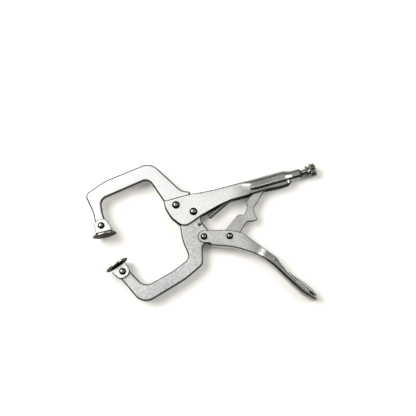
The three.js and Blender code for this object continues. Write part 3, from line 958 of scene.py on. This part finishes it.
def screw():
    start = THREAD_START
    shaft = SCREW_R - 0.1

    def thread(angle, height, radius):
        if height < start or height > KNOB_X - 0.6:
            return radius
        phase = (height / PITCH - angle / (2 * math.pi)) % 1.0
        return SCREW_R - THREAD_DEPTH * abs(2 * phase - 1)

    steps_per_turn = 8
    count = int((SCREW_END - start) / PITCH * steps_per_turn)
    profile = [(0, SCREW_TIP), (2.8, SCREW_TIP), (shaft, SCREW_TIP + 1.2), (shaft, start - 0.2)]
    profile += [(SCREW_R - 0.3, mix(start, SCREW_END, k / count)) for k in range(count + 1)]
    profile += [(0, SCREW_END)]
    made = lathe(profile, (0, SCREW_Y, 0), (1, 0, 0), 28, thread)
    piece("adjusting_screw_thread", made, SCREW, "screw", "screw", "adjusting_screw", sharp=50)


def knob():
    def grip(angle, height, radius):
        inside = smooth(4.2, 5.0, height) * (1 - smooth(10.6, 11.6, height))
        groove = max(0.0, math.cos(angle * GROOVES)) ** 2
        return radius - GROOVE_DEPTH * groove * inside

    profile = [(0, BORE_DEPTH), (BORE_R, BORE_DEPTH), (BORE_R, 0.0), (6.9, 0), (7.35, 0.2),
               (7.5, 0.6), (7.5, 1.5), (7.3, 1.9), (5.7, 2.5), (5.5, 3.0), (5.5, 3.8), (5.8, 4.2),
               (7.6, 4.55), (8.05, 4.9), (KNOB_R, 5.4), (KNOB_R, 6.6), (KNOB_R, 7.8), (KNOB_R, 9),
               (KNOB_R, 10.2), (8.0, 11), (7.4, 11.6), (6.6, 12), (5.6, 12.2), (3.2, 12.2),
               (2.8, 12), (0, 11.9)]
    made = lathe(profile, (KNOB_X, SCREW_Y, 0), (1, 0, 0), 96, grip)
    piece("adjusting_knob_spool", made, SCREW, "knob", "screw", "adjusting_knob")


COILS, COIL_STEPS, COIL_R, WIRE_R = 27, 12, 2.5, 0.58


def spring():
    """An extension spring, drawn along +X from the jaw's hole and then turned towards the tab."""
    start, end = Vector((*SPRING_HOLE, 0)), Vector((*SPRING_TAB, 0))
    length = (end - start).length
    first_hook = [(-0.5, 0, -5.2), (-0.4, 0, 0), (-0.3, 0, 5.2), (3, 0, 6.0), (9, 0, 4.4)]
    last_hook = [(length - 5, 0, 2.5), (length - 1.5, 0, 2.2), (length + 0.2, 0, 0.6),
                 (length + 0.2, 0, -2.3)]
    coil = []
    for k in range(COILS * COIL_STEPS + 1):
        x = mix(14.5, length - 8.5, k / (COILS * COIL_STEPS))
        z, y = turned(2 * math.pi * k / COIL_STEPS, COIL_R)
        coil.append(Vector((x, y, z)))
    path = spline(vectors(first_hook), 6)[:-1] + coil[:-1]
    path = path + spline([coil[-1]] + vectors(last_hook), 6)
    lean = Matrix.Rotation(math.atan2(end.y - start.y, end.x - start.x), 3, "Z")
    made = sweep([lean @ p + start for p in path], WIRE_R)
    obj = piece("return_spring_wire", made, WIRE, None, "spring", "return_spring", sharp=80)
    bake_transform(obj)


# ---------------------------------------------------------------- pads

# drawn with the rivet at the origin and the clamping face below it
PAD_SHIFT, PAD_FACE = 1.3, -12.3
YOKE_SHEET, YOKE_HALF, EAR_R = 1.9, 9.9, 7.6
DISC = [(0, 0.25), (12.6, 0.25), (12.9, 0), (14.0, 0), (14.4, 0.25), (14.62, 0.7), (14.62, 1.3),
        (14.4, 1.75), (13.9, 1.95), (13.6, 2.4), (12.9, 2.5), (12.5, 1.7), (11.7, 1.7),
        (11.3, 2.5), (10.9, 2.6), (0, 2.6)]


def pad(name, at, degrees):
    turn = Matrix.Rotation(math.radians(degrees), 3, "Z")
    origin = Vector((*at, 0))
    centre = origin + turn @ Vector((PAD_SHIFT, PAD_FACE, 0))
    disc = lathe(DISC, centre, turn @ Vector((0, 1, 0)), 72)
    piece(name + "_disc_turned", disc, PAD, name, "pad", name + "_disc")

    # the yoke is a low trough on the disc, with two ears
    seat, r, ear_half = PAD_FACE + 2.9, EAR_R, 10
    shares = (-1, -0.97, -0.5, 0, 0.5, 0.97, 1)
    frames = [(Vector((PAD_SHIFT + YOKE_HALF * k, seat)), Vector((0, 1))) for k in shares]
    sizes = [(CHEEK_IN + YOKE_SHEET, 2.6, 2.1)] * len(frames)
    yoke = shell(*trough_rows(frames, sizes, YOKE_SHEET))
    yoke.finish.clear()
    left, right = PAD_SHIFT - ear_half, PAD_SHIFT + ear_half
    ear = filleted([(left, seat + 1.7), (right, seat + 1.7), (right, seat + 3.4, 1.2),
                    (r, r, r - 0.5), (-r, r, r - 0.5), (left, seat + 3.4, 1.2)])
    for side in (-1, 1):
        middle = side * (CHEEK_IN + YOKE_SHEET / 2)
        yoke.join(plate(ear, YOKE_SHEET + 0.06, 0.95, z=middle))
    yoke.move(lambda p: origin + turn @ p)
    piece(name + "_yoke_sheet", yoke, YOKE, name, "handle", name + "_yoke")
    rivet(name + "_rivet_head", at, 2.6, 4.2, 2.7, CHEEK_IN + YOKE_SHEET, name, name + "_rivet")


# ---------------------------------------------------------------- camera, floor, light

TILT = math.radians(11)
ROLL = math.radians(15.67)
DISTANCE = 1200.0
SENSOR = 36
# the lens's length as a share of the sensor's width
FOCAL = 984 / 416
# where the camera's axis meets the tool's middle plane, from the main pivot, in the photo's axes
AIM = Vector((17.63, 5.58))
# in metres
FLOOR_SIZE, FLOOR_GAP = 4, 0.0001
# the cosines, from the ceiling's middle, between which the walls' light gives way to the ceiling's
CEILING_EDGE = (0.68, 0.8)
WALL_LIGHT, CEILING_LIGHT = 0.04, 0.42


def studio(x, y, z):
    """A point given right, up and towards the viewer as the photo is held, in the row frame."""
    flat = Matrix.Rotation(-ROLL, 2) @ Vector((x, y))
    return place((flat.x, flat.y, z))


def camera():
    data = bpy.data.cameras.new("camera")
    data.sensor_width = SENSOR
    data.lens = SENSOR * FOCAL
    data.clip_start, data.clip_end = 0.05, 20
    obj = bpy.data.objects.new("camera", data)
    bpy.context.scene.collection.objects.link(obj)
    back = Vector((0, -math.sin(TILT), math.cos(TILT)))
    up = Vector((0, math.cos(TILT), math.sin(TILT)))
    turn = Matrix.Rotation(-ROLL, 3, "Z")
    axes = [turn @ Vector((1, 0, 0)), turn @ up, turn @ back]
    matrix = Matrix(axes).transposed().to_4x4()
    spot = back * DISTANCE
    matrix.translation = studio(AIM.x + spot.x, AIM.y + spot.y, spot.z)
    obj.matrix_world = matrix
    bpy.context.scene.camera = obj


def floor():
    """A pale floor under the three places that the tool rests on: the pads' rims and the knob."""
    knob_low, knob_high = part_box("adjusting_knob")
    disc_low, disc_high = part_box("fixed_pad_disc")
    rest_x = (disc_low.x + disc_high.x) / 2
    slope = math.atan2(knob_low.z, (knob_low.x + knob_high.x) / 2 - rest_x)
    mesh = bpy.data.meshes.new("floor")
    work = bmesh.new()
    bmesh.ops.create_grid(work, x_segments=8, y_segments=8, size=FLOOR_SIZE)
    work.to_mesh(mesh)
    work.free()
    obj = bpy.data.objects.new("floor", mesh)
    bpy.context.scene.collection.objects.link(obj)
    tilt = Matrix.Rotation(-slope, 4, "Y")
    obj.matrix_world = Matrix.Translation((rest_x, 0, -FLOOR_GAP)) @ tilt
    paper = bpy.data.materials.new("floor_paper")
    graph = Graph(paper)
    noise = graph.add("ShaderNodeTexNoise", {"Scale": 3}, "Fac")
    shader = graph.nodes["Principled BSDF"].inputs
    graph.fill(shader["Roughness"], graph.ramp(noise, NOISE_LOW, NOISE_HIGH, 0.7, 0.8))
    shader["Base Color"].default_value = (0.80, 0.785, 0.74, 1)
    shader["Specular IOR Level"].default_value = 0.2
    shader["Emission Color"].default_value = (1, 0.985, 0.93, 1)
    shader["Emission Strength"].default_value = 0.06
    mesh.materials.append(paper)


def room():
    """A pale ceiling beyond the tool, and dark walls, for the metal to reflect."""
    world = bpy.data.worlds.new("studio")
    graph = Graph(world)
    beyond = (studio(0, 0.55, 1) - MAIN).normalized()
    towards = graph.add("ShaderNodeVectorMath", {0: graph.where("Generated"), 1: beyond}, "Value",
                        operation="DOT_PRODUCT")
    background = graph.nodes["Background"].inputs
    strength = graph.ramp(towards, *CEILING_EDGE, WALL_LIGHT, CEILING_LIGHT)
    graph.fill(background["Strength"], strength)
    background["Color"].default_value = (1, 0.985, 0.95, 1)
    bpy.context.scene.world = world


def softbox(name, at, size, power):
    """A rectangular light aimed at the main pivot; at and size are in metres."""
    data = bpy.data.lights.new(name, "AREA")
    data.shape = "RECTANGLE"
    data.size, data.size_y = size
    data.energy = power
    obj = bpy.data.objects.new(name, data)
    bpy.context.scene.collection.objects.link(obj)
    position = studio(*(v / MM for v in at))
    obj.location = position
    obj.rotation_mode = "QUATERNION"
    obj.rotation_quaternion = (MAIN - position).to_track_quat("-Z", "Y")
    obj.visible_camera = False


def lights():
    room()
    softbox("left", (-1.0, 0.38, 1.13), (1.2, 1.2), 38)
    softbox("right", (1.1, 0.25, 1.0), (0.7, 0.7), 13)
    softbox("strip", (0, -0.585, 1.8), (3.0, 0.25), 4)
    bpy.context.scene.view_settings.view_transform = "Standard"


fixed_jaw()
moving_jaw()
upper_handle()
lower_handle()
toggle_link()
release_lever()
rivets()
screw()
knob()
spring()
pad("fixed_pad", FIXED_PAD, -2)
pad("moving_pad", MOVING_PAD, 199)

camera()
floor()
lights()
